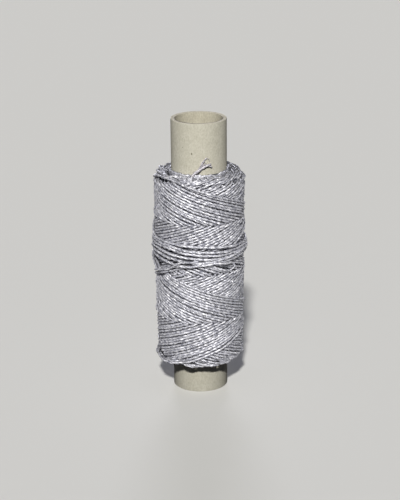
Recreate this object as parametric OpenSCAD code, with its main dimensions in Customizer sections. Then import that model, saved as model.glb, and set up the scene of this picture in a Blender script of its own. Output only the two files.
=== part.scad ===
// Thread spool: a straight paperboard tube, rolled from plies, that carries a
// cross-wound package of twisted metallic thread. A band of nearly level turns
// lies round the middle, and the thread's free end stands up at the top.
// The tube stands upright on its lower rim, with its axis along Z.

/* [Tube] */
// Length of the tube
tube_length = 101.6; // [80:0.1:160]
// Inside diameter of the tube
bore_d = 17; // [10:0.5:40]
// Thickness of the liner, the innermost ply
liner_t = 0.3; // [0.2:0.05:0.6]
// Thickness of the inner board ply
inner_board_t = 0.45; // [0.3:0.05:1]
// Thickness of the outer board ply
outer_board_t = 0.45; // [0.3:0.05:1]
// Thickness of the smooth cover ply
cover_t = 0.3; // [0.2:0.05:0.6]

/* [Thread package] */
// Length of bare tube below the thread
bare_below = 9.5; // [6:0.5:20]
// Length of bare tube above the thread
bare_above = 19.3; // [15:0.1:30]
// Depth of the thread that lies under the outer turns
inner_layers_t = 3.15; // [2:0.05:12]
// Radius of the rounded shoulders at both ends of the package
shoulder_r = 2; // [0.5:0.1:2.5]

/* [Thread] */
// Diameter of the twisted thread
thread_d = 1.0; // [0.7:0.05:1.2]
// Diameter of one ply of the thread
ply_d = 0.45; // [0.25:0.05:0.5]
// Room between turns that cross or lie side by side
turn_gap = 0.42; // [0.42:0.01:0.6]
// Room between a turn and the surface under it
seat_gap = 0.2; // [0.15:0.01:0.3]

/* [Outer layer] */
// Times that the thread runs down and up again
cross_cycles = 5; // [3:1:5]
// Distance from the package's ends to where the turns reverse
reversal_inset = 2.3; // [1.5:0.1:4]
// Angle on each side of a reversal within which the thread changes level
climb_angle = 30; // [24:1:34]
// Angle on each side of a reversal over which the turn is rounded
round_angle = 22; // [15:1:40]

/* [Waist turns] */
// Height of the uppermost level turn
waist_top = 57.7; // [45:0.1:65]
// Number of level turns
waist_count = 4; // [2:1:4]
// Height that the level turns' plane tilts to each side
waist_tilt = 0.6; // [0:0.1:2]
// Height from which the thread comes down to the level turns
lead_in_rise = 6.5; // [0:0.5:10]
// Depth that the last turn hangs loose below its neighbours
loose_dip = 4.4; // [0:0.1:6]

/* [Free end] */
// Height of the fork in the free end above the package
fork_height = 3.8; // [3:0.1:6]
// Height of the upper tip above the package
upper_tip_height = 7.3; // [6.5:0.1:12]
// Height of the lower tip above the package
lower_tip_height = 5.0; // [4.7:0.1:6]
// Distance from the fork to where the free end bends over the shoulder, to the left
tail_reach = 3.3; // [2.8:0.1:4]
// Distance from the fork to the upper tip, to the right
upper_tip_reach = 2.5; // [1.5:0.1:4]
// Distance from the fork to the lower tip, to the right
lower_tip_reach = 3.8; // [3:0.1:5]
// Length of the lower tip's end, which hangs down
hook_length = 0.8; // [0.4:0.1:1.5]

/* [Hidden] */

board_colour = "#cbc7b6";
board_edge_colour = "#b9b09a";
liner_colour = "#c0b9a3";
thread_colour = "#b4b4b8";
thread_shade_colour = "#8d8f98";

$fn = 96;

// Radii, from the bore outwards
bore_r = bore_d / 2;
liner_r = bore_r + liner_t;
inner_board_r = liner_r + inner_board_t;
outer_board_r = inner_board_r + outer_board_t;
tube_r = outer_board_r + cover_t;
core_r = tube_r + inner_layers_t;
rising_r = core_r + seat_gap + thread_d / 2;
falling_r = rising_r + thread_d + turn_gap;
waist_r = falling_r + thread_d + turn_gap;

package_top = tube_length - bare_above;

// A turn is drawn with this many rings of this many sides
rings_per_turn = 24;
thread_sides = 6;
ring_angle = 360 / rings_per_turn;

function unit(v) = v / norm(v);
function ease(s) = let (t = min(1, max(0, s))) t * t * (3 - 2 * t);
function on_cylinder(angle, r, z) = [r * cos(angle), r * sin(angle), z];
function between(a, b, s) = a + (b - a) * s;

// Direction of a path at its point i
function tangent(path, i) =
    unit(path[min(i + 1, len(path) - 1)] - path[max(i - 1, 0)]);

// Unit vectors of a ring at point i: outwards from the tube's axis, and across
function outward(path, i) =
    let (t = tangent(path, i), o = unit([path[i].x, path[i].y, 0]))
    unit(o - (o * t) * t);
function across(path, i) = cross(tangent(path, i), outward(path, i));

// A path with a straight run of one thread diameter added at each end
function with_straight_ends(path) =
    let (n = len(path))
    concat([path[0] - thread_d * unit(path[1] - path[0])],
           path,
           [path[n - 1] + thread_d * unit(path[n - 1] - path[n - 2])]);

// One closed tube of diameter d along a path, all in triangles
module thread_along(path, d) {
    n = len(path);
    s = thread_sides;
    points = [
        for (i = [0:n - 1], k = [0:s - 1])
            path[i] + d / 2 * (cos(360 * k / s) * outward(path, i)
                               + sin(360 * k / s) * across(path, i))
    ];
    wall = [
        for (i = [0:n - 2], k = [0:s - 1])
            let (a = i * s + k, b = i * s + (k + 1) % s)
            each [[a, a + s, b], [b, a + s, b + s]]
    ];
    first_cap = [for (k = [1:s - 2]) [0, k, k + 1]];
    last = (n - 1) * s;
    last_cap = [for (k = [1:s - 2]) [last, last + k + 1, last + k]];
    polyhedron(points, concat(wall, first_cap, last_cap));
}

// Least distance between two straight runs, tried at points along both
gap_samples = 8;
function run_distance(a, b, c, d) =
    min([for (i = [0:gap_samples], j = [0:gap_samples])
        norm(between(a, b, i / gap_samples) - between(c, d, j / gap_samples))]);

// Runs i of one path and j of another that come near, and their distances
function near_distances(p, q, first_j) = [
    for (i = [0:len(p) - 2], j = [first_j + (first_j > 0 ? i : 0):1:len(q) - 2])
        if (norm(p[i] + p[i + 1] - q[j] - q[j + 1]) / 2 < 6 * thread_d)
            run_distance(p[i], p[i + 1], q[j], q[j + 1])
];
// Runs this close along one path are neighbours, not turns that meet
neighbour_runs = 4;
function gap_to_itself(path) =
    min(concat([99], near_distances(path, path, neighbour_runs))) - thread_d;
function gap_between(p, q) = min(concat([99], near_distances(p, q, 0))) - thread_d;
function gap_to_core(path) =
    min([for (i = [0:len(path) - 2])
        let (m = (path[i] + path[i + 1]) / 2) norm([m.x, m.y])])
    - thread_d / 2 - core_r;

// --- Outer layer: the thread runs down and up between two reversals while the
// spool turns, so that it crosses itself. Falling runs lie over rising ones.
turns_top = package_top - reversal_inset;
turns_bottom = bare_below + reversal_inset;
// Each cycle ends one place short of a whole turn, which spreads the reversals
turns_per_cycle = 3 + (cross_cycles - 1) / cross_cycles;
stroke_angle = turns_per_cycle * 360 / 2;
front_reversal = -95;
slope = (turns_top - turns_bottom) / (stroke_angle - round_angle);

// Angle from the reversal at the top that is nearest, and from the one below
function cycle_angle(a) = a % (2 * stroke_angle);
function from_top(a) = min(cycle_angle(a), 2 * stroke_angle - cycle_angle(a));
function from_bottom(a) = abs(cycle_angle(a) - stroke_angle);
// Height lost at angle g from a reversal, with the reversal itself rounded
function fall(g) = g < round_angle ? slope * g * g / (2 * round_angle)
                                   : slope * (g - round_angle / 2);
function cross_z(a) = from_top(a) < stroke_angle / 2
    ? turns_top - fall(from_top(a))
    : turns_bottom + fall(from_bottom(a));
// 0 on the rising level and 1 on the falling level
function level_share(a) =
    let (c = cycle_angle(a))
    c < stroke_angle / 2 ? ease((c + climb_angle) / (2 * climb_angle))
    : c < 3 * stroke_angle / 2
        ? ease((stroke_angle + climb_angle - c) / (2 * climb_angle))
        : ease((c - 2 * stroke_angle + climb_angle) / (2 * climb_angle));
function cross_point(a) =
    on_cylinder(front_reversal + a,
                between(rising_r, falling_r, level_share(a)), cross_z(a));

// The thread leaves the layer one ring short of the reversal it started from
layer_rings = round(2 * stroke_angle * cross_cycles / ring_angle) - 1;
outer_layer_path = with_straight_ends(
    [for (i = [1:layer_rings]) cross_point(i * ring_angle)]);

// --- Waist turns: the thread comes down to the band, goes round it, and its
// last turn hangs loose at the left of the front.
lead_in_rings = 7;
waist_start = front_reversal - lead_in_rings * ring_angle;
waist_rings = lead_in_rings + waist_count * rings_per_turn + 3;
// A level turn keeps a little more room, because its plane is tilted
waist_pitch = thread_d + 1.15 * turn_gap;
tilt_low_at = -60;
dip_at = -148 + waist_count * 360;
dip_half_angle = 45;
function dip(a) =
    let (s = abs(a - dip_at) / dip_half_angle)
    s < 1 ? loose_dip * (1 + cos(180 * s)) / 2 : 0;
function lead_in(a) =
    let (s = (front_reversal - a) / (lead_in_rings * ring_angle))
    s > 0 ? lead_in_rise * s * s : 0;
function waist_z(a) =
    waist_top - waist_pitch * max(0, a - front_reversal) / 360
    - waist_tilt * cos(a - tilt_low_at) + lead_in(a) - dip(a);
waist_path = with_straight_ends([
    for (i = [0:waist_rings])
        let (a = waist_start + i * ring_angle)
        on_cylinder(a, waist_r, waist_z(a))
]);

// --- Free end: it leaves the outer layer, bends over the shoulder and leans
// against the tube, where it forks into its plies.
lean_r = tube_r + seat_gap + thread_d / 2;
shoulder_bend_r = shoulder_r + 1.5 * seat_gap + thread_d / 2;
tail_start = outer_layer_path[len(outer_layer_path) - 1];
tail_heading = tangent(outer_layer_path, len(outer_layer_path) - 1);
// A point at x on the front of a circle of radius r
function in_front(x, r, z) = [x, -sqrt(r * r - x * x), z];
function over_shoulder(x, angle) =
    in_front(x, core_r - shoulder_r + shoulder_bend_r * cos(angle),
             package_top - shoulder_r + shoulder_bend_r * sin(angle));
// Shares of the reach still to go: on the shoulder, then up to the fork
shoulder_shares = [1, 0.91, 0.82];
shoulder_angles = [5, 35, 65];
lean_shares = [0.64, 0.33, 0];
// Room that the free end keeps where it first meets the tube
first_lean_gap = 0.3 * thread_d;
tail_path = concat(
    [tail_start, tail_start + 0.4 * thread_d * tail_heading],
    [for (i = [0:2])
        over_shoulder(-tail_reach * shoulder_shares[i], shoulder_angles[i])],
    [for (i = [0:2])
        in_front(-tail_reach * lean_shares[i], lean_r + (i == 0 ? first_lean_gap : 0),
                 package_top + fork_height * (0.4 + 0.3 * i))]);

fork = tail_path[len(tail_path) - 1];
fork_heading = tangent(tail_path, len(tail_path) - 1);
fork_side = across(tail_path, len(tail_path) - 1);
ply_offset = (thread_d / 2 - ply_d / 2) * 0.98;
// Height that a ply bows away from the straight line to its tip
ply_bow = 0.25 * thread_d;
// A ply starts square on the fork, to one side, and rises to its tip
function ply_path(side, tip_x, tip_height, hook) =
    let (p = fork + side * ply_offset * fork_side,
         start = p + 0.3 * thread_d * fork_heading,
         tip = in_front(tip_x, lean_r, package_top + tip_height))
    concat([p, start],
           [for (s = [0.35, 0.7, 1])
               between(start, tip, s) + [0, 0, side * ply_bow * sin(180 * s)]],
           hook);
upper_ply_path = ply_path(1, upper_tip_reach, upper_tip_height, []);
lower_ply_path = ply_path(-1, lower_tip_reach, lower_tip_height,
    [in_front(lower_tip_reach + 0.75 * hook_length, lean_r,
              package_top + lower_tip_height - hook_length)]);

// --- Pieces

module ply_ring(inner_r, outer_r) {
    difference() {
        cylinder(h = tube_length, r = outer_r);
        translate([0, 0, -1]) cylinder(h = tube_length + 2, r = inner_r);
    }
}

module tube_liner() color(liner_colour) ply_ring(bore_r, liner_r);

module tube_inner_board() color(board_edge_colour) ply_ring(liner_r, inner_board_r);

module tube_outer_board() color(board_edge_colour) ply_ring(inner_board_r, outer_board_r);

module tube_cover() color(board_colour) ply_ring(outer_board_r, tube_r);

// The inner layers of thread, as one smooth body with rounded shoulders
module thread_package() {
    length = package_top - bare_below;
    color(thread_shade_colour)
    difference() {
        translate([0, 0, bare_below]) {
            cylinder(h = length, r = core_r - shoulder_r);
            translate([0, 0, shoulder_r]) cylinder(h = length - 2 * shoulder_r, r = core_r);
            for (z = [shoulder_r, length - shoulder_r])
                translate([0, 0, z])
                rotate_extrude() translate([core_r - shoulder_r, 0])
                intersection() {
                    circle(shoulder_r);
                    translate([0, -shoulder_r]) square([shoulder_r, 2 * shoulder_r]);
                }
        }
        translate([0, 0, bare_below - 1]) cylinder(h = length + 2, r = tube_r);
    }
}

module thread_outer_layer() color(thread_colour) thread_along(outer_layer_path, thread_d);

module waist_turns() color(thread_colour) thread_along(waist_path, thread_d);

module thread_tail() color(thread_colour) thread_along(tail_path, thread_d);

module tail_plies() color(thread_colour) {
    thread_along(upper_ply_path, ply_d);
    thread_along(lower_ply_path, ply_d);
}

tube_liner();
tube_inner_board();
tube_outer_board();
tube_cover();
thread_package();
thread_outer_layer();
waist_turns();
thread_tail();
tail_plies();

// Least gaps of the wound threads, measured on points along their runs
echo(outer_layer_turns = layer_rings * ring_angle / 360,  // thread_outer_layer
         outer_layer_gap_to_itself = gap_to_itself(outer_layer_path),
         outer_layer_gap_to_core = gap_to_core(outer_layer_path));
echo(waist_turns = waist_rings * ring_angle / 360,
         waist_gap_to_itself = gap_to_itself(waist_path),
         waist_gap_to_outer_layer = gap_between(waist_path, outer_layer_path));
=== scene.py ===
"""A spool of silver metallic thread on a paperboard tube, standing on a pale floor.

The tube is four paper plies. The thread is laid stroke by stroke on a map of
the package's surface, as a winding machine lays it, so each run rests on the
runs beneath it. Lengths in this script are millimetres until a piece is made.
"""

import copy
import math

import bmesh
import bpy
import numpy as np
from mathutils import Matrix, Vector


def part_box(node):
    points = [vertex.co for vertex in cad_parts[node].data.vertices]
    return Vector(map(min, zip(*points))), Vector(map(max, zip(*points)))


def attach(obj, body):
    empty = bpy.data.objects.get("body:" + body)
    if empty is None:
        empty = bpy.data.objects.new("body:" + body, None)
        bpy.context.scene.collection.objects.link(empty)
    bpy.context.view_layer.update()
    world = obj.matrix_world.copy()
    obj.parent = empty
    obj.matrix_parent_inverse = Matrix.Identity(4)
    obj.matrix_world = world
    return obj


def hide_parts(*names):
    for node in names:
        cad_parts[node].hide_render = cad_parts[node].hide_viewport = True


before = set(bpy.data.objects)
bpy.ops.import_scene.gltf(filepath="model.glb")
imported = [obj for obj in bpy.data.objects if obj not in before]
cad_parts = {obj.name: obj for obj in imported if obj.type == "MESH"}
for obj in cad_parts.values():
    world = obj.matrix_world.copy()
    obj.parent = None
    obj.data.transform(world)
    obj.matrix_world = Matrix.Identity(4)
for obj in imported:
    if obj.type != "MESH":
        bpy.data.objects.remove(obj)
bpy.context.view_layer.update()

MM = 0.001
BODY = "root"
SEED = 7

# --- Sizes in millimetres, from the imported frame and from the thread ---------
tube_low, tube_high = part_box("tube_cover")
TUBE_LENGTH = (tube_high[2] - tube_low[2]) / MM
TUBE_R = (tube_high[0] - tube_low[0]) / 2 / MM
OUTER_BOARD_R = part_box("tube_outer_board")[1][0] / MM
INNER_BOARD_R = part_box("tube_inner_board")[1][0] / MM
LINER_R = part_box("tube_liner")[1][0] / MM
BORE_R = 8.5             # a box tells only a ply's outside
package_low, package_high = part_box("thread_package")
PACKAGE_BOTTOM = package_low[2] / MM
PACKAGE_TOP = package_high[2] / MM

THREAD_D = 1.0
PLY_TWIST = 7.2          # length in which the three plies turn once
CRUSH = 0.84             # share of its diameter that a laid thread keeps


# --- Small helpers -----------------------------------------------------------
def colour(hex_code):
    """An sRGB hex colour as the linear RGBA that a shader takes."""
    channels = [int(hex_code[i:i + 2], 16) / 255 for i in (1, 3, 5)]
    linear = [c / 12.92 if c <= 0.04045 else ((c + 0.055) / 1.055) ** 2.4 for c in channels]
    return (*linear, 1.0)


def on_cylinder(angle_deg, radius, z):
    """Points in millimetres on a cylinder about the tube's axis."""
    a = np.radians(angle_deg)
    return np.stack([radius * np.cos(a), radius * np.sin(a), z], axis=-1)


def smooth_step(x):
    """0 below 0 and 1 above 1, with an even start and end between them."""
    t = np.clip(x, 0, 1)
    return t * t * (3 - 2 * t)


def spun(section, steps):
    """A closed section of radii and heights in millimetres, spun round the tube's axis.

    The spin leaves its faces in no set order, so they are put in one, the same each run.
    """
    bm = bmesh.new()
    verts = [bm.verts.new((r * MM, 0, z * MM)) for r, z in section]
    edges = [bm.edges.new((verts[i], verts[(i + 1) % len(verts)])) for i in range(len(verts))]
    bmesh.ops.spin(bm, geom=verts + edges, cent=(0, 0, 0), axis=(0, 0, 1),
                   angle=2 * math.pi, steps=steps, use_merge=True)
    bm.verts.index_update()
    count = len(bm.verts)

    def by_corners(face):
        corners = [v.index for v in face.verts]
        return min(corners) * count + max(corners)

    bm.faces.sort(key=by_corners)
    return bm


def smooth_mesh(name, bm):
    bmesh.ops.recalc_face_normals(bm, faces=bm.faces)
    for face in bm.faces:
        face.smooth = True
    mesh = bpy.data.meshes.new(name)
    bm.to_mesh(mesh)
    bm.free()
    return mesh


def new_object(name, mesh, material, *replaced):
    """An object that rides on the spool's body and stands for the nodes it replaces."""
    piece = bpy.data.objects.new(name, mesh)
    bpy.context.scene.collection.objects.link(piece)
    mesh.materials.append(material)
    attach(piece, BODY)
    if replaced:
        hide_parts(*replaced)
    return piece


# --- Materials ---------------------------------------------------------------
def new_material(name):
    material = bpy.data.materials.new(name)
    material.use_nodes = True
    material.node_tree.nodes.clear()
    return material


def add_node(material, kind, settings=None, **links):
    """Adds a node: settings sets its properties, and links its sockets.

    A socket goes by its name, or by _ and its number where names repeat.
    """
    node = material.node_tree.nodes.new(kind)
    for key, value in (settings or {}).items():
        setattr(node, key, value)
    for key, value in links.items():
        socket = node.inputs[int(key[1:])] if key[0] == "_" and key[1:].isdigit() \
            else node.inputs[key.replace("_", " ")]
        if isinstance(value, bpy.types.NodeSocket):
            material.node_tree.links.new(value, socket)
        else:
            socket.default_value = value
    return node


def colour_ramp(material, factor, stops):
    """Colour by factor, from stops of a place from 0 to 1 and an sRGB hex colour."""
    ramp = add_node(material, "ShaderNodeValToRGB", Fac=factor)
    elements = ramp.color_ramp.elements
    for i, (place, hex_code) in enumerate(stops):
        element = elements[i] if i < 2 else elements.new(place)
        element.position = place
        element.color = colour(hex_code)
    return ramp.outputs["Color"]


def near_point(material, place, centre, reach, core=0.6):
    """1 out to core of a reach round a point and 0 beyond it, in millimetres by x, y and z."""
    off = add_node(material, "ShaderNodeVectorMath", {"operation": "SUBTRACT"}, _0=place,
                   _1=tuple(c * MM for c in centre)).outputs["Vector"]
    scaled = add_node(material, "ShaderNodeVectorMath", {"operation": "MULTIPLY"}, _0=off,
                      _1=tuple(1 / (r * MM) for r in reach)).outputs["Vector"]
    away = add_node(material, "ShaderNodeVectorMath", {"operation": "LENGTH"},
                    _0=scaled).outputs["Value"]
    return add_node(material, "ShaderNodeMapRange", {"clamp": True}, Value=away, From_Min=core,
                    From_Max=1.0, To_Min=1.0, To_Max=0.0).outputs["Result"]


def mixed(material, share, first, second):
    """The first colour at share 0 and the second at share 1."""
    return add_node(material, "ShaderNodeMix", {"data_type": "RGBA"}, _0=share, _6=first,
                    _7=second).outputs[2]


MOTTLE_MM = 2.5          # size of the paper's paler and darker clouds
FIBRE_MM = 0.42          # spacing of its fibres, drawn coarser than real ones so that they show
FIBRE_RELIEF_MM = 0.05
FIBRE_STRETCH = 0.6      # fibres lie along the ply, so their pattern is squeezed along the tube
SPECK = "#6a6554"        # an inclusion in waste paper
PAINTED_SHADE_BELOW_RIM_MM = (0.3, 0.15)    # depths below the rim between which the painted shade on its inner edge comes in
PAINTED_SHADE_FRONT_MM = (1.5, -2.5)        # y between which the painted shade comes in towards the front


def paperboard(name, pale, mid, dark, specks=(), painted_rim_shade=None):
    """Uncoated grey-cream paper, calendered: matt, with a fine grain of short fibres."""
    m = new_material(name)
    place = add_node(m, "ShaderNodeTexCoord").outputs["Object"]
    mottle = add_node(m, "ShaderNodeTexNoise", Vector=place, Scale=1 / (MOTTLE_MM * MM),
                      Detail=4.0, Roughness=0.6).outputs["Fac"]
    base = colour_ramp(m, mottle, [(0.3, mid), (0.7, pale)])
    along = add_node(m, "ShaderNodeMapping", Vector=place,
                     Scale=(1.0, 1.0, FIBRE_STRETCH)).outputs["Vector"]
    fibres = add_node(m, "ShaderNodeTexNoise", Vector=along, Scale=1 / (FIBRE_MM * MM),
                      Detail=3.0, Roughness=0.7, Distortion=0.4).outputs["Fac"]
    grain = add_node(m, "ShaderNodeMapRange", {"clamp": True}, Value=fibres,
                     From_Min=0.4, From_Max=0.7, To_Max=0.65).outputs["Result"]
    base = mixed(m, grain, base, colour(dark))
    for centre, reach in specks:
        base = mixed(m, near_point(m, place, centre, reach), base, colour(SPECK))
    # Painted shade: a dark line along the rim's inner edge at the front, where the rim's top face
    # is lit at a graze
    if painted_rim_shade:
        axes = add_node(m, "ShaderNodeSeparateXYZ", Vector=place).outputs
        at_rim = add_node(m, "ShaderNodeMapRange", {"clamp": True}, Value=axes["Z"],
                          From_Min=(TUBE_LENGTH - PAINTED_SHADE_BELOW_RIM_MM[0]) * MM,
                          From_Max=(TUBE_LENGTH - PAINTED_SHADE_BELOW_RIM_MM[1]) * MM).outputs["Result"]
        at_front = add_node(m, "ShaderNodeMapRange", {"clamp": True}, Value=axes["Y"],
                            From_Min=PAINTED_SHADE_FRONT_MM[0] * MM,
                            From_Max=PAINTED_SHADE_FRONT_MM[1] * MM).outputs["Result"]
        rim_shade_share = add_node(m, "ShaderNodeMath", {"operation": "MULTIPLY"}, _0=at_rim,
                          _1=at_front).outputs[0]
        base = mixed(m, rim_shade_share, base, colour(painted_rim_shade))
    bump = add_node(m, "ShaderNodeBump", Strength=0.3, Distance=FIBRE_RELIEF_MM * MM,
                    Height=fibres).outputs["Normal"]
    shader = add_node(m, "ShaderNodeBsdfPrincipled", Base_Color=base, Roughness=0.85,
                      Normal=bump)
    shader.inputs["Specular IOR Level"].default_value = 0.2
    add_node(m, "ShaderNodeOutputMaterial", Surface=shader.outputs[0])
    return m


FACET_MM = 1.8           # length of a facet of film along the thread
FACET_SCALE = 1.25       # facets for each thread radius round it
FILM_MM = 0.95           # length of film that shows between two patches of fibre
FILM_SCALE = 1.9         # changes of film and fibre for each thread radius round it


def metallic_thread(name, light, mid, dark, tilt, rough_film, rough_fibre):
    """Plies of aluminised polyester film and grey fibre, twisted: facets that glint.

    The strips of film lie at all angles, so each one catches the light by itself.
    """
    m = new_material(name)
    along = add_node(m, "ShaderNodeAttribute", {"attribute_name": "along_mm"}).outputs["Fac"]
    around = add_node(m, "ShaderNodeAttribute", {"attribute_name": "around"}).outputs["Vector"]
    place = add_node(m, "ShaderNodeCombineXYZ", X=along).outputs["Vector"]

    def read_at(scale, length_mm):
        """Where a pattern of that scale is read, so that a cell of it is length_mm long."""
        return add_node(m, "ShaderNodeVectorMath", {"operation": "MULTIPLY_ADD"}, _0=place,
                        _1=(1 / (scale * length_mm), 0, 0), _2=around).outputs["Vector"]

    # The film is creased into facets, each turned its own way
    facets = add_node(m, "ShaderNodeTexVoronoi", Vector=read_at(FACET_SCALE, FACET_MM),
                      Scale=FACET_SCALE)
    spread = add_node(m, "ShaderNodeVectorMath", {"operation": "MULTIPLY_ADD"},
                      _0=facets.outputs["Color"], _1=(2 * tilt,) * 3,
                      _2=(-tilt,) * 3).outputs["Vector"]
    normal = add_node(m, "ShaderNodeNewGeometry").outputs["Normal"]
    tilted = add_node(m, "ShaderNodeVectorMath", {"operation": "ADD"}, _0=normal, _1=spread)
    facing = add_node(m, "ShaderNodeVectorMath", {"operation": "NORMALIZE"},
                      _0=tilted.outputs["Vector"]).outputs["Vector"]
    # Strips of film show for a millimetre or so, then dip under the fibre
    film = add_node(m, "ShaderNodeTexNoise", Vector=read_at(FILM_SCALE, FILM_MM),
                    Scale=FILM_SCALE, Detail=3.0, Roughness=0.7).outputs["Fac"]
    base = colour_ramp(m, film, [(0.4, dark), (0.5, mid), (0.58, light)])
    # Painted shade: the creases between runs, where a thread faces its neighbours rather than
    # outwards, are darkened
    outward = add_node(m, "ShaderNodeAttribute", {"attribute_name": "outward"}).outputs["Fac"]
    painted_crease_shade = add_node(m, "ShaderNodeMapRange", {"clamp": True}, Value=outward, From_Min=-0.3,
                      From_Max=0.65, To_Min=0.3, To_Max=1.0).outputs["Result"]
    base = add_node(m, "ShaderNodeVectorMath", {"operation": "MULTIPLY"}, _0=base,
                    _1=painted_crease_shade).outputs["Vector"]
    metal = add_node(m, "ShaderNodeMapRange", {"clamp": True}, Value=film, From_Min=0.42,
                     From_Max=0.54, To_Min=0.08, To_Max=0.75).outputs["Result"]
    rough = add_node(m, "ShaderNodeMapRange", {"clamp": True}, Value=film, From_Min=0.4,
                     From_Max=0.6, To_Min=rough_fibre, To_Max=rough_film).outputs["Result"]
    shader = add_node(m, "ShaderNodeBsdfPrincipled", Base_Color=base, Metallic=metal,
                      Roughness=rough, Normal=facing)
    add_node(m, "ShaderNodeOutputMaterial", Surface=shader.outputs[0])
    return m


def seen_share(material):
    """1 where the camera, a reflection or a see-through surface looks, and 0 for other light."""
    path = add_node(material, "ShaderNodeLightPath").outputs
    seen = add_node(material, "ShaderNodeMath", {"operation": "MAXIMUM"},
                    _0=path["Is Camera Ray"], _1=path["Is Glossy Ray"]).outputs[0]
    return add_node(material, "ShaderNodeMath", {"operation": "MAXIMUM"}, _0=seen,
                    _1=path["Is Transmission Ray"]).outputs[0]


def studio_floor(name, hex_code, bounce_hex, glow):
    """Matt card. It shows paler than the light it gives back, so it doesn't flood the thread."""
    m = new_material(name)
    seen = seen_share(m)
    base = mixed(m, seen, colour(bounce_hex), colour(hex_code))
    matt = add_node(m, "ShaderNodeBsdfDiffuse", Color=base).outputs[0]
    level = add_node(m, "ShaderNodeMath", {"operation": "MULTIPLY"}, _0=seen,
                     _1=glow).outputs[0]
    pale = add_node(m, "ShaderNodeEmission", Color=colour(hex_code), Strength=level).outputs[0]
    both = add_node(m, "ShaderNodeAddShader", _0=matt, _1=pale).outputs[0]
    add_node(m, "ShaderNodeOutputMaterial", Surface=both)
    return m


# Dark inclusions in the cover paper: their middles and half-lengths
COVER_SPECKS = (
    ((-2.54, -9.67, 90.86), (0.22, 0.6, 0.5)),
    ((-5.71, -8.21, 92.84), (0.15, 0.6, 0.16)),
    ((6.3, 7.8, 95.2), (0.4, 0.4, 0.3)),
    ((-9.4, 3.4, 88.6), (0.5, 0.3, 0.35)),
)
# A dark spot on the inner edge of the upper rim, in the inclusions' colour
LINER_DARK_SPOTS = (((-8.35, -2.1, 101.5), (0.5, 0.7, 0.6)),)
cover_paper = paperboard("calendered_cover_paper", "#d0cdc0", "#c6c3b4", "#a9a594",
                         COVER_SPECKS)
board_ply = paperboard("grey_board_ply", "#bfbaac", "#b2ac9d", "#8d8778")
# The liner's rim carries a painted shade line at the front
liner_paper = paperboard("kraft_cream_liner", "#c3bfae", "#b8b3a2", "#948e7f",
                         LINER_DARK_SPOTS, painted_rim_shade="#4e4b43")
thread_finish = metallic_thread("aluminised_polyester_thread", "#fafaff", "#e1e2ec", "#656779",
                                0.31, 0.6, 0.68)
fluffed_finish = metallic_thread("fluffed_thread_end", "#eae7ea", "#cac7cf", "#9794a0",
                                 0.3, 0.6, 0.75)
# Painted shade: the hidden layers take the thread's finish in much darker colours, so that gaps
# between runs read as shadow
painted_shade_finish = metallic_thread("thread_in_painted_shade", "#8a8b92", "#6d6e76", "#4c4d55",
                                0.3, 0.5, 0.7)


# --- Paper tube --------------------------------------------------------------
ROUND_STEPS = 3          # facets of a ply's rounded edge
TUBE_STEPS = 144         # facets round the tube
RIM_WAVE = 0.03          # millimetres by which the upper rim is uneven
WAVES = 5                # waves of different lengths that make the unevenness


def tube_ply(name, inner_r, outer_r, material, node, edge, seed):
    """One ply: a rounded wall section spun round the axis, its upper rim a little uneven."""
    corners = [(inner_r, 0, 180), (outer_r, 0, 270), (outer_r, TUBE_LENGTH, 0),
               (inner_r, TUBE_LENGTH, 90)]
    centres = {180: (edge, edge), 270: (-edge, edge), 0: (-edge, -edge), 90: (edge, -edge)}
    section = []
    for r, z, start in corners:
        dx, dz = centres[start]
        for i in range(ROUND_STEPS + 1):
            a = math.radians(start + 90 * i / ROUND_STEPS)
            section.append((r + dx + edge * math.cos(a), z + dz + edge * math.sin(a)))
    bm = spun(section, TUBE_STEPS)
    rng = np.random.default_rng(SEED + seed)
    phases = rng.uniform(0, 2 * math.pi, WAVES)
    for v in bm.verts:
        if v.co.z > TUBE_LENGTH / 2 * MM:
            a = math.atan2(v.co.y, v.co.x)
            wave = sum(math.sin((i + 2) * a + phases[i]) / (i + 2) for i in range(WAVES))
            v.co.z -= RIM_WAVE * MM * (1 + wave)
    return new_object(name, smooth_mesh(name, bm), material, node)


tube_ply("liner_ply", BORE_R, LINER_R, liner_paper, "tube_liner", 0.08, 1)
tube_ply("inner_board_ply", LINER_R, INNER_BOARD_R, board_ply, "tube_inner_board",
                 0.06, 2)
tube_ply("outer_board_ply", INNER_BOARD_R, OUTER_BOARD_R, board_ply,
                 "tube_outer_board", 0.06, 3)
tube_ply("cover_ply", OUTER_BOARD_R, TUBE_R, cover_paper, "tube_cover", 0.1, 4)


# --- Winding -----------------------------------------------------------------
# The thread goes up and down while the spool turns about four times a cycle.
# Each cycle falls one thread's width short of the last one's place.
SLOPE = 0.1028                 # height gained for each degree of turn
WHOLE_TURNS = 4 * 360          # degrees of turn in a cycle, down and up again
CYCLE_ANGLE = WHOLE_TURNS + 10.4
SHARP_TOP = 85.0               # height at which the straight strokes would meet
SHARP_BOTTOM = SHARP_TOP - SLOPE * CYCLE_ANGLE / 2
LAST_TOP_ANGLE = -146.3        # where the last stroke down leaves the top
CYCLES = 130
INNER_REACH = 0.6              # how much further the first layer's reversals lie than the last's
TIGHT_BEND = 0.16              # sharpest inward bend of a taut thread, per millimetre
STEP = 1.5                     # degrees between points of the thread
MEAN_R = 15.0                  # radius at which sideways distances are measured
STEP_MM = MEAN_R * math.radians(STEP)
HALF_THREAD = THREAD_D * CRUSH / 2

MAP_ANGLE = 0.5                # degrees between the map's columns
MAP_RISE = 0.14                # millimetres between its rows
MAP_LOW, MAP_HIGH = PACKAGE_BOTTOM - 2.5, PACKAGE_TOP + 2.0
FIRST_R = 10.4                 # radius of the first layers, which the map starts from

# The finished package: radius at a few heights, fuller at the top
FULL_HEIGHTS = (9.6, 10.4, 11.4, 12.6, 14.5, 22.0, 34.0, 50.0, 77.5, 79.5, 81.2, 82.2, 82.9, 83.4)
FULL_RADII = (10.0, 12.3, 14.1, 15.1, 15.45, 15.55, 15.8, 15.95, 16.05, 15.9, 15.3, 14.3, 12.2,
              10.0)


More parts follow.
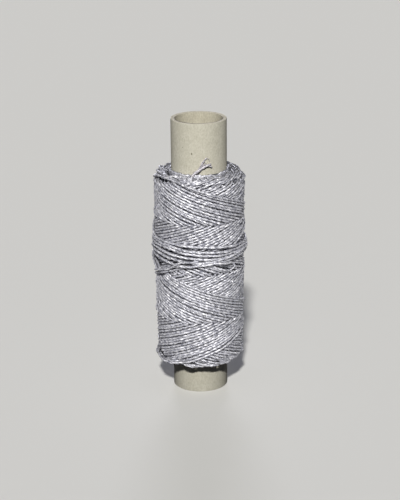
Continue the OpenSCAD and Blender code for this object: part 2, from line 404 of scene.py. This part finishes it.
def blurred(grid, rows, columns):
    """A map smoothed by box passes, wrapped round in angle and held at its ends."""
    for _ in range(2):
        padded = np.pad(grid, ((rows, rows), (0, 0)), mode="edge")
        total = np.cumsum(np.pad(padded, ((1, 0), (0, 0))), axis=0)
        grid = (total[2 * rows + 1:] - total[:-2 * rows - 1]) / (2 * rows + 1)
        padded = np.pad(grid, ((0, 0), (columns, columns)), mode="wrap")
        total = np.cumsum(np.pad(padded, ((0, 0), (1, 0))), axis=1)
        grid = (total[:, 2 * columns + 1:] - total[:, :-2 * columns - 1]) / (2 * columns + 1)
    return grid


class PackageMap:
    """The package's outer radius at each angle and height, as thread is laid on it.

    Thread under tension settles: after each cycle the whole map is pressed
    towards an even build, and sunk holds how far each place has gone down.
    """

    def __init__(self):
        self.z = np.arange(MAP_LOW, MAP_HIGH, MAP_RISE)
        self.full = np.interp(self.z, FULL_HEIGHTS, FULL_RADII)
        share = (FIRST_R - TUBE_R) / (max(FULL_RADII) - TUBE_R)
        self.first = TUBE_R + (self.full - TUBE_R) * share
        self.radius = np.repeat(self.first[:, None], int(360 / MAP_ANGLE), axis=1)
        self.sunk = np.zeros_like(self.radius)

    def cells(self, angle, z):
        row = np.clip(np.round((z - self.z[0]) / MAP_RISE).astype(int), 0, len(self.z) - 1)
        column = np.round(angle / MAP_ANGLE).astype(int) % self.radius.shape[1]
        return row, column

    def offsets(self, angle, z, w):
        """Angle and height of the point that lies w to the side of each path point."""
        run = np.gradient(np.radians(angle)) * MEAN_R
        rise = np.gradient(z)
        length = np.hypot(run, rise)
        return angle - np.degrees(w * rise / length / MEAN_R), z + w * run / length

    def rest(self, angle, z):
        """Radius at which the middle of a thread rests on the map along a path."""
        touch = np.full(len(angle), TUBE_R + HALF_THREAD)
        for w in np.linspace(-0.85, 0.85, 7) * HALF_THREAD:
            place = self.cells(*self.offsets(angle, z, w))
            touch = np.maximum(touch, self.radius[place] + math.sqrt(HALF_THREAD**2 - w**2))
        return touch

    def lay(self, angle, z, centre):
        """Raises the map to the top of a thread laid along a path."""
        index = np.arange(len(angle))
        fine = np.arange(0, len(angle) - 1, 0.34)
        angle, z, centre = (np.interp(fine, index, v) for v in (angle, z, centre))
        for w in np.linspace(-0.98, 0.98, 11) * HALF_THREAD:
            place = self.cells(*self.offsets(angle, z, w))
            np.maximum.at(self.radius, place, centre + math.sqrt(HALF_THREAD**2 - w**2))

    def settle(self, progress, rows=9, columns=24):
        target = self.first + (self.full - self.first) * progress
        excess = blurred(self.radius - target[:, None], rows, columns)
        self.sink(excess)

    def sink(self, depth):
        self.radius = self.radius - depth
        self.sunk = self.sunk + depth


def pull_tight(centre, run_mm, bend):
    """The lowest line over the resting heights that bends inwards no more than bend."""
    s = np.arange(len(centre)) * run_mm
    lifted = centre - bend * s * s / 2
    keep = [0]
    for i in range(1, len(s)):
        while len(keep) > 1:
            a, b = keep[-2], keep[-1]
            if (lifted[b] - lifted[a]) * (s[i] - s[a]) > (lifted[i] - lifted[a]) * (s[b] - s[a]):
                break
            keep.pop()
        keep.append(i)
    return np.interp(s, s[keep], lifted[keep]) + bend * s * s / 2


def reversal_fall(g, rounding):
    """Height from a rounded reversal at angle g from it, below the straight stroke's peak."""
    return np.where(g < rounding, SLOPE * (g * g / (2 * rounding) + rounding / 2), SLOPE * g)


# Mean and spread, in degrees, of the turn over which a reversal is rounded
TOP_ROUNDING = (52, 6)
BOTTOM_ROUNDING = (40, 5)
WANDER = 0.07            # millimetres by which a stroke wanders, for each of its waves
WANDER_WAVES = (0.7, 1.6, 3.1)  # waves in a turn
STROKE_SHIFT = 0.05      # millimetres by which whole strokes are out of step


def stroke(start_angle, downwards, reach, rng):
    """Angle and height along one stroke. Its reversals lie reach beyond the last layer's."""
    half_cycle = CYCLE_ANGLE / 2
    g = np.arange(0, half_cycle + STEP / 2, STEP)
    top_round = TOP_ROUNDING[0] + rng.normal(0, TOP_ROUNDING[1])
    bottom_round = BOTTOM_ROUNDING[0] + rng.normal(0, BOTTOM_ROUNDING[1])
    from_top = g if downwards else half_cycle - g
    from_bottom = half_cycle - from_top
    z = np.where(from_top < half_cycle / 2,
                 SHARP_TOP + reach - reversal_fall(from_top, top_round),
                 SHARP_BOTTOM - reach + reversal_fall(from_bottom, bottom_round))
    waves = sum(rng.normal(0, WANDER) * np.sin(np.radians(g) * k + rng.uniform(0, 2 * math.pi))
                for k in WANDER_WAVES)
    return start_angle + g, z + waves + rng.normal(0, STROKE_SHIFT)


# The band of nearly level turns: angle travelled and height, as it was wound.
# Every 360 degrees is a turn, and -90 is the front.
BAND_ROUTE = (
    (-215, 66.5), (-190, 62.6), (-172, 60.4), (-155, 59.3), (-130, 59.2), (-110, 58.9),
    (-90, 58.6), (-60, 58.0), (-44, 57.5), (-30, 57.2), (-10, 56.9), (90, 57.6),
    (205, 58.3), (230, 58.2), (248, 57.3), (270, 56.6), (300, 56.2), (330, 56.1), (450, 56.6),
    (565, 57.2), (590, 57.2), (602, 56.5), (620, 55.8), (632, 55.4), (664, 55.0), (690, 55.1),
    (810, 55.6),
    (930, 55.8), (950, 55.1), (972, 54.5), (990, 54.1), (1010, 53.8), (1040, 54.0), (1060, 54.2),
    (1170, 54.5),
    (1290, 54.2), (1310, 53.6), (1330, 52.9), (1350, 52.7), (1365, 52.9), (1383, 53.6),
    (1405, 54.6), (1430, 54.9), (1530, 54.8),
    (1650, 52.4), (1671, 51.7), (1681, 51.2), (1695, 51.3), (1710, 51.8), (1725, 52.1),
    (1745, 52.5), (1765, 53.1), (1790, 53.2), (1830, 53.4),
)
BAND_DIAMETER = 1.12     # the band's turns are less crushed than the rest
BAND_FIRST_TURN = 150    # angle at which the band proper begins
BAND_RISES = (-150, -90)    # angles between which its first strand comes to stand proud
# A slack stretch that hangs below the band at the left
SLACK_ROUTE = (
    (-275, 52.4), (-235, 52.1), (-205, 51.7), (-180, 50.6), (-165, 49.2), (-150, 47.9),
    (-137, 48.6), (-126, 50.2), (-119.5, 51.5), (-115, 52.6), (-105, 53.2), (-90, 53.2),
)
# A small bight that has worked out below the band at the right
BIGHT_ROUTE = (
    (-76, 52.6), (-64, 52.2), (-56, 51.9), (-49, 51.8), (-44, 51.0), (-42.5, 49.8), (-44, 48.6),
    (-49, 47.8),
)


def eased(route, width=9):
    """Angle and height along a route, evenly stepped by its length and rounded at its points."""
    knots = np.array(route, dtype=float)
    reach = np.hypot(np.radians(np.diff(knots[:, 0])) * MEAN_R, np.diff(knots[:, 1]))
    at = np.concatenate([[0], np.cumsum(reach)])
    steps = np.arange(0, at[-1], STEP_MM)
    line = [np.interp(steps, at, knots[:, i]) for i in (0, 1)]
    kernel = np.hanning(width + 2)[1:-1]
    kernel /= kernel.sum()
    return [np.convolve(np.pad(v, width // 2, mode="reflect", reflect_type="odd"), kernel, "valid")
            for v in line]


def press_under_waist(package, angle, z, depth=0.7, margin=0.8):
    """The band's tension sinks it into the thread beneath."""
    top = np.full(package.radius.shape[1], -np.inf)
    bottom = np.full(package.radius.shape[1], np.inf)
    inside = angle > BAND_FIRST_TURN
    column = np.round(angle[inside] / MAP_ANGLE).astype(int) % len(top)
    for shift in (-2, -1, 0, 1, 2):
        np.maximum.at(top, (column + shift) % len(top), z[inside])
        np.minimum.at(bottom, (column + shift) % len(top), z[inside])
    rise = smooth_step((package.z[:, None] - bottom + margin) / margin)
    fall = smooth_step((top + margin - package.z[:, None]) / margin)
    package.sink(blurred(depth * rise * fall, 2, 12))


def tucked_ends(count, depth=1.2, points=8):
    """How far each point of a strand lies under its neighbours: its two ends dive in."""
    from_end = np.minimum(np.arange(count), np.arange(count)[::-1])
    return depth * (1 - smooth_step(from_end / points))


def wind_band(package, proud=0.1, stretch=40, kept_lift=0.45):
    """The level turns round the waist, which stand a little proud of the package.

    They are laid a stretch at a time, so that a later turn lies over an earlier one.
    It keeps only a share of that lift, because its tension presses both into the package.
    """
    angle, z = eased(BAND_ROUTE)
    rest = package.rest(angle, z)
    trial = copy.deepcopy(package)
    for first in range(0, len(angle), stretch):
        part = slice(first, min(first + stretch, len(angle)))
        over_others = trial.rest(angle[part], z[part])
        rest[part] += kept_lift * (over_others - rest[part])
        trial.lay(angle[part], z[part], rest[part])
    centre = pull_tight(rest, STEP_MM, TIGHT_BEND)
    lying_until, proud_from = BAND_RISES
    centre = centre + proud * smooth_step((angle - lying_until) / (proud_from - lying_until))
    press_under_waist(package, angle, z)
    package.lay(angle, z, centre)
    return on_cylinder(angle, centre - tucked_ends(len(angle)), z)


def wind_package():
    """Lays every stroke and the band, and returns them with the finished map."""
    package = PackageMap()
    strokes = []
    run = STEP_MM / math.cos(math.atan(SLOPE / math.radians(MEAN_R)))
    for cycle in range(CYCLES):
        left = CYCLES - 1 - cycle
        rng = np.random.default_rng(SEED + left)
        top_angle = LAST_TOP_ANGLE - left * (CYCLE_ANGLE - WHOLE_TURNS)
        for downwards in (True, False):
            start = top_angle if downwards else top_angle + CYCLE_ANGLE / 2
            angle, z = stroke(start, downwards, INNER_REACH * left / CYCLES, rng)
            centre = pull_tight(package.rest(angle, z), run, TIGHT_BEND)
            package.lay(angle, z, centre)
            strokes.append([angle, z, centre + package.sunk[package.cells(angle, z)]])
        package.settle((cycle + 1) / CYCLES)
    band = wind_band(package)
    for laid in strokes:
        laid[2] = np.maximum(laid[2] - package.sunk[package.cells(laid[0], laid[1])],
                             TUBE_R + HALF_THREAD)
    return strokes, band, package


SHOULDER = 3.0           # height of the looser winding at each end
SHOULDER_FADE = 2.0      # height over which it turns firm
RUN_MARGIN = 3           # points by which a visible run goes on under its neighbours
SHORTEST_RUN = 5         # points, below which a run is left out


def visible_runs(angle, z, centre, package, depth=0.75, shoulder_depth=1.8, cover=2.8):
    """Stretches of a stroke that aren't buried, as index ranges.

    The winding is looser at its two shoulders, where one sees further in between runs.
    """
    from_end = np.minimum(z - PACKAGE_BOTTOM, PACKAGE_TOP - z)
    firm_share = smooth_step((from_end - SHOULDER) / SHOULDER_FADE)
    seen_to = shoulder_depth + (depth - shoulder_depth) * firm_share
    shown = package.radius[package.cells(angle, z)] - centre - HALF_THREAD < seen_to
    # On the end faces a run is buried by what lies beyond it along the tube
    outwards = np.where(z > (PACKAGE_TOP + PACKAGE_BOTTOM) / 2, cover, -cover)
    shown |= package.radius[package.cells(angle, z + outwards)] < centre + HALF_THREAD
    wide = np.convolve(shown, np.ones(2 * RUN_MARGIN + 1), mode="same") > 0
    edges = np.flatnonzero(np.diff(np.concatenate([[0], wide.astype(int), [0]])))
    return [(a, b) for a, b in zip(edges[::2], edges[1::2]) if b - a >= SHORTEST_RUN]


# --- Thread as geometry ------------------------------------------------------
PROFILE_POINTS = 12
PLY_MIDDLE = 0.43        # mean radius of the section, as a share of the thread's diameter
PLY_BULGE = 0.08         # how far each ply bulges from it
CUT_SOMEWHERE_MM = 400   # each run starts anywhere in such a length, so that none look alike


def thread_profile(diameter):
    """Three plies side by side in section, pressed together."""
    data = bpy.data.curves.new("ply_section", "CURVE")
    data.dimensions = "2D"
    spline = data.splines.new("POLY")
    spline.points.add(PROFILE_POINTS - 1)
    for i, point in enumerate(spline.points):
        a = 2 * math.pi * i / PROFILE_POINTS
        r = diameter * (PLY_MIDDLE + PLY_BULGE * math.cos(3 * a)) * MM
        point.co = (r * math.cos(a), r * math.sin(a), 0, 1)
    spline.use_cyclic_u = True
    return bpy.data.objects.new("ply_section", data)


def record_thread_places(mesh, along, around, outward):
    """Stores where each vertex lies on its thread, for the thread's material."""
    values = (("along_mm", "FLOAT", "value", along), ("around", "FLOAT_VECTOR", "vector", around),
              ("outward", "FLOAT", "value", outward))
    for attribute, kind, field, data in values:
        mesh.attributes.new(attribute, kind, "POINT").data.foreach_set(
            field, data.astype(np.float32).ravel())


def thread_mesh(name, runs, diameter=THREAD_D, twist=PLY_TWIST, rng=None, in_the_pack=True):
    """One mesh of twisted thread along several runs of points in millimetres.

    Thread in the pack gets painted shade in its creases, where it lies against its neighbours.
    """
    rng = rng or np.random.default_rng(SEED)
    section = thread_profile(diameter)
    data = bpy.data.curves.new(name, "CURVE")
    data.dimensions = "3D"
    data.twist_mode = "MINIMUM"
    data.bevel_mode = "OBJECT"
    data.bevel_object = section
    along = []
    for points in runs:
        spline = data.splines.new("POLY")
        spline.points.add(len(points) - 1)
        flat = np.concatenate([points * MM, np.ones((len(points), 1))], axis=1)
        spline.points.foreach_set("co", flat.astype(np.float32).ravel())
        lengths = np.linalg.norm(np.diff(points, axis=0), axis=1)
        start = rng.uniform(0, CUT_SOMEWHERE_MM)
        travelled = start + np.concatenate([[0], np.cumsum(lengths)])
        tilt = 2 * math.pi * travelled / twist
        spline.points.foreach_set("tilt", tilt.astype(np.float32))
        along.append(travelled)
    curve = bpy.data.objects.new(name, data)
    bpy.context.scene.collection.objects.link(curve)
    bpy.context.view_layer.update()
    mesh = bpy.data.meshes.new_from_object(
        curve.evaluated_get(bpy.context.evaluated_depsgraph_get()))
    mesh.name = name
    bpy.data.objects.remove(curve)
    bpy.data.objects.remove(section)
    along = np.repeat(np.concatenate(along), PROFILE_POINTS)
    count = len(mesh.vertices)
    assert count == len(along), (count, len(along))
    middles = np.repeat(np.concatenate(runs), PROFILE_POINTS, axis=0)
    surface = np.empty(count * 3, dtype=np.float32)
    mesh.vertices.foreach_get("co", surface)
    away = surface.reshape(-1, 3)[:, :2] / MM - middles[:, :2]
    radial = middles[:, :2] / np.linalg.norm(middles[:, :2], axis=1)[:, None]
    # How far each vertex faces outwards from the tube's axis, which sets its painted crease shade;
    # pieces out of the pack get none
    outward = (away * radial).sum(axis=1) / (diameter / 2) if in_the_pack else np.ones(count)
    a = 2 * np.pi * (np.arange(count) % PROFILE_POINTS) / PROFILE_POINTS
    around = np.stack([np.zeros(count), np.cos(a), np.sin(a)], axis=1)
    record_thread_places(mesh, along, around, outward)
    bm = bmesh.new()
    bm.from_mesh(mesh)
    bmesh.ops.holes_fill(bm, edges=[e for e in bm.edges if e.is_boundary], sides=0)
    bmesh.ops.recalc_face_normals(bm, faces=bm.faces)
    bm.to_mesh(mesh)
    bm.free()
    mesh.shade_smooth()
    return mesh


def thread_piece(name, runs, *replaced, finish=thread_finish, **options):
    piece = new_object(name, thread_mesh(name, runs, **options), finish, *replaced)
    return piece


def worn_down(grid, rows, columns):
    """The lowest value near each cell of a map, wrapped round in angle."""
    low = grid.copy()
    for shift in range(1, rows + 1):
        low[shift:] = np.minimum(low[shift:], grid[:-shift])
        low[:-shift] = np.minimum(low[:-shift], grid[shift:])
    narrow = low.copy()
    for shift in range(-columns, columns + 1):
        low = np.minimum(low, np.roll(narrow, shift, axis=1))
    return low


BODY_STEPS = 180         # facets round the hidden layers
BODY_WEAR = (4, 4)       # rows and columns of the map over which they keep to the lowest place
BODY_WEAR_AT_ENDS = (9, 6)
HIDDEN_OUTWARD = 0.1     # how little they face outwards, which gives them the thread material's painted crease shade


def wound_body(package):
    """The hidden layers: a turned body that keeps just under the thread that shows.

    It lies lower at its ends, where one sees further in.
    """
    inner_r, row_mm, below, end_height = TUBE_R - 0.1, 0.4, 0.25, 4
    from_end = np.minimum(package.z - PACKAGE_BOTTOM, PACKAGE_TOP - package.z)
    surface = np.where(from_end[:, None] < end_height,
                       worn_down(package.radius, *BODY_WEAR_AT_ENDS),
                       worn_down(package.radius, *BODY_WEAR))
    surface = np.maximum(surface - below, TUBE_R + 0.02)
    heights = np.arange(FULL_HEIGHTS[0], FULL_HEIGHTS[-1], row_mm)
    section = [(TUBE_R + 1, z) for z in heights]
    section += [(inner_r, heights[-1]), (inner_r, heights[0])]
    bm = spun(section, BODY_STEPS)
    for v in bm.verts:
        r = math.hypot(v.co.x, v.co.y) / MM
        if r > TUBE_R:
            angle = math.degrees(math.atan2(v.co.y, v.co.x))
            row, column = package.cells(np.array([angle]), np.array([v.co.z / MM]))
            grow = surface[row[0], column[0]] / r
            v.co.x *= grow
            v.co.y *= grow
    mesh = smooth_mesh("wound_body", bm)
    # The streaks of its finish run round it, a thread's width apart
    places = np.array([v.co for v in mesh.vertices]) / MM
    along = np.arctan2(places[:, 1], places[:, 0]) * MEAN_R
    across = 2 * (places[:, 2] + np.hypot(places[:, 0], places[:, 1])) / THREAD_D
    record_thread_places(mesh, along, np.stack([0 * across, across, 0 * across], axis=1),
                         np.full(len(places), HIDDEN_OUTWARD))
    return new_object("wound_body", mesh, painted_shade_finish, "thread_package")


def rounded_path(points, spacing=0.4, samples=24):
    """A smooth line through points, in even steps, from so many samples between two."""
    knots = np.array(points, dtype=float)
    ends = [2 * knots[0] - knots[1], *knots, 2 * knots[-1] - knots[-2]]
    line = []
    for p0, p1, p2, p3 in zip(ends, ends[1:], ends[2:], ends[3:]):
        t = np.linspace(0, 1, samples, endpoint=False)[:, None]
        line.append(0.5 * (2 * p1 + (p2 - p0) * t + (2 * p0 - 5 * p1 + 4 * p2 - p3) * t**2
                           + (3 * p1 - p0 - 3 * p2 + p3) * t**3))
    line = np.concatenate(line + [knots[-1:]])
    at = np.concatenate([[0], np.cumsum(np.linalg.norm(np.diff(line, axis=0), axis=1))])
    steps = np.linspace(0, at[-1], max(3, int(at[-1] / spacing) + 1))
    return np.stack([np.interp(steps, at, line[:, i]) for i in range(3)], axis=1)


def laid_on(package, route, lift=0.0):
    """A strand along a route on the package, taut, or lifted where it is slack."""
    angle, z = eased(route)
    centre = pull_tight(package.rest(angle, z), STEP_MM, TIGHT_BEND)
    package.lay(angle, z, centre)
    slack = lift * np.sin(np.linspace(0, math.pi, len(angle))) ** 2
    return on_cylinder(angle, centre + slack - tucked_ends(len(angle)), z)


strokes, band, package = wind_package()
wound_body(package)
STROKES_IN_A_PIECE = 13  # keeps each piece well under 200,000 triangles
for first in range(0, len(strokes), STROKES_IN_A_PIECE):
    runs = []
    for angle, z, centre in strokes[first:first + STROKES_IN_A_PIECE]:
        points = on_cylinder(angle, centre, z)
        for a, b in visible_runs(angle, z, centre, package):
            runs.append(points[a:b])
    thread_piece(f"cross_wound_thread_{first // STROKES_IN_A_PIECE + 1:02d}", runs,
                 "thread_outer_layer", rng=np.random.default_rng(SEED + first))

thread_piece("waist_band", [band], "waist_turns", diameter=BAND_DIAMETER)
thread_piece("slack_turn", [laid_on(package, SLACK_ROUTE, 0.3)], "waist_turns")
thread_piece("small_bight", [laid_on(package, BIGHT_ROUTE, 0.15)], "waist_turns")


# --- Free end ----------------------------------------------------------------
TAIL_Y = -10.6           # the free end leans on the front of the tube
STEM_RISES_X = -2.6      # where the thread leaves the package and stands up
end_angle, end_z, end_centre = (values[-4:] for values in strokes[-1])
STEM = [*on_cylinder(end_angle, end_centre, end_z), (-8.6, -9.7, 82.7), (-5.4, -11.2, 82.4),
        (-3.2, TAIL_Y - 0.6, 82.4), (-2.15, TAIL_Y - 0.2, 83.3), (-1.45, TAIL_Y, 84.0),
        (-0.7, TAIL_Y, 84.55), (0.1, TAIL_Y, 85.1), (0.5, TAIL_Y, 85.5)]
LOWER_PLY = [(-0.3, TAIL_Y, 84.8), (0.5, TAIL_Y + 0.05, 85.4), (1.4, TAIL_Y + 0.15, 86.0),
             (2.5, TAIL_Y + 0.25, 86.6), (3.6, TAIL_Y + 0.45, 87.0), (4.2, TAIL_Y + 0.6, 87.0)]
HOOK_PLY = [(2.6, TAIL_Y + 0.2, 86.4), (3.4, TAIL_Y + 0.5, 86.5), (4.1, TAIL_Y + 0.7, 86.3),
            (4.6, TAIL_Y + 1.0, 86.0)]
UPPER_PLY = [(-0.1, TAIL_Y, 85.1), (0.35, TAIL_Y + 0.1, 86.0), (0.75, TAIL_Y + 0.25, 86.9),
             (1.0, TAIL_Y + 0.35, 87.6), (1.4, TAIL_Y + 0.4, 88.1), (2.0, TAIL_Y + 0.5, 88.8),
             (2.65, TAIL_Y + 0.6, 89.5)]
WISP = [(0.6, TAIL_Y + 0.3, 86.0), (1.5, TAIL_Y + 0.45, 87.4), (1.95, TAIL_Y + 0.5, 88.3),
        (2.5, TAIL_Y + 0.6, 89.0), (3.0, TAIL_Y + 0.75, 89.2), (3.5, TAIL_Y + 1.0, 88.8),
        (3.7, TAIL_Y + 1.1, 88.2)]
stem = rounded_path(STEM)
rises = int(np.argmax(stem[:, 0] > STEM_RISES_X))


def fanned_fibres(count=20):
    """Fine fibres that have sprung out of the cut end, fanned between its two plies."""
    rng = np.random.default_rng(SEED)
    runs = []
    for share in np.linspace(0, 1, count):
        root = np.array([-0.9 + 1.3 * share, TAIL_Y - 0.05, 84.7 + 0.5 * share])
        tip = np.array([2.3 + 1.7 * share, TAIL_Y + 0.3, 89.2 - 2.1 * share])
        reach = rng.uniform(0.5, 0.95)
        bow = rng.normal(0, 0.16, 3)
        spring = rng.normal(0, 0.22, 3)
        runs.append(rounded_path([root, root + (tip - root) * reach * 0.5 + bow,
                                  root + (tip - root) * reach + spring], 0.25))
    return runs


# The free end and its plies get no painted crease shade
thread_piece("last_run", [stem[:rises + 1]], "thread_tail", diameter=1.05)
thread_piece("free_end", [stem[rises:]], "thread_tail", diameter=1.2, in_the_pack=False,
             finish=fluffed_finish)
for name, route, diameter in (("lower_ply", LOWER_PLY, 0.95), ("hook_ply", HOOK_PLY, 0.4),
                              ("upper_ply", UPPER_PLY, 0.45), ("wisp", WISP, 0.2)):
    thread_piece(name, [rounded_path(route, 0.25)], "tail_plies", diameter=diameter,
                 twist=5 * diameter, in_the_pack=False, finish=fluffed_finish)
thread_piece("loose_fibres", fanned_fibres(), "tail_plies", diameter=0.17, twist=1.0,
             in_the_pack=False, finish=fluffed_finish)


# --- Stage, light and camera -------------------------------------------------
FLOOR_R = 40.0           # metres: so wide that its edge lies at the horizon


def make_floor():
    bm = bmesh.new()
    bmesh.ops.create_circle(bm, cap_ends=True, radius=FLOOR_R, segments=96)
    mesh = bpy.data.meshes.new("floor")
    bm.to_mesh(mesh)
    bm.free()
    mesh.materials.append(studio_floor("pale_card", "#cfcfcd", "#383838", 0.04))
    floor = bpy.data.objects.new("floor", mesh)
    bpy.context.scene.collection.objects.link(floor)


def make_sun(name, azimuth, elevation, strength, softness, hex_code):
    """A broad soft source, far away. Azimuth 0 is behind the camera."""
    lamp = bpy.data.lights.new(name, "SUN")
    lamp.energy = strength
    lamp.angle = math.radians(softness)
    lamp.color = colour(hex_code)[:3]
    sun = bpy.data.objects.new(name, lamp)
    a, e = math.radians(azimuth), math.radians(elevation)
    towards = Vector((math.sin(a) * math.cos(e), -math.cos(a) * math.cos(e), math.sin(e)))
    sun.rotation_euler = towards.to_track_quat("Z", "Y").to_euler()
    bpy.context.scene.collection.objects.link(sun)


def make_world(hex_code, horizon_hex):
    """Dim light from all round, and the floor's pale colour where it meets the horizon."""
    world = bpy.data.worlds.new("studio")
    world.use_nodes = True
    world.node_tree.nodes.clear()
    direction = add_node(world, "ShaderNodeTexCoord").outputs["Generated"]
    height = add_node(world, "ShaderNodeSeparateXYZ", Vector=direction).outputs["Z"]
    low = add_node(world, "ShaderNodeMapRange", {"clamp": True, "interpolation_type": "SMOOTHSTEP"},
                   Value=height, From_Min=0.05, From_Max=0.12, To_Min=1.0,
                   To_Max=0.0).outputs["Result"]
    pale = add_node(world, "ShaderNodeMath", {"operation": "MULTIPLY"}, _0=low,
                    _1=seen_share(world)).outputs[0]
    sky = mixed(world, pale, colour(hex_code), colour(horizon_hex))
    background = add_node(world, "ShaderNodeBackground", Color=sky, Strength=1.0).outputs[0]
    add_node(world, "ShaderNodeOutputWorld", Surface=background)
    bpy.context.scene.world = world


CAMERA_BACK = 496.45     # distance of the lens from the tube's axis
CAMERA_HEIGHT = 222.95
CAMERA_DROP = math.degrees(0.331654)
CAMERA_ROLL = -0.477
FOCAL_PIXELS = 1438.7    # for a frame 400 wide and 500 high
FRAME_HEIGHT = 500
SHIFT_PIXELS = 0.344     # how far the lens looks past the middle of the frame
SENSOR = 36.0


def make_camera():
    lens = bpy.data.cameras.new("camera")
    lens.sensor_width = SENSOR
    lens.lens = FOCAL_PIXELS / FRAME_HEIGHT * SENSOR
    lens.shift_x = SHIFT_PIXELS / FRAME_HEIGHT
    camera = bpy.data.objects.new("camera", lens)
    look = Matrix.Rotation(math.radians(90 - CAMERA_DROP), 4, "X")
    roll = Matrix.Rotation(math.radians(CAMERA_ROLL), 4, "Z")
    camera.matrix_world = (Matrix.Translation((0, -CAMERA_BACK * MM, CAMERA_HEIGHT * MM))
                           @ look @ roll)
    bpy.context.scene.collection.objects.link(camera)
    bpy.context.scene.camera = camera


make_camera()
make_floor()
make_sun("key", -3, 40, 3.85, 4, "#fffdf8")
make_sun("back", 180, 12, 2.0, 20, "#f4f4ff")
make_world("#2a2d38", "#cecdca")
bpy.context.scene.view_settings.view_transform = "Standard"
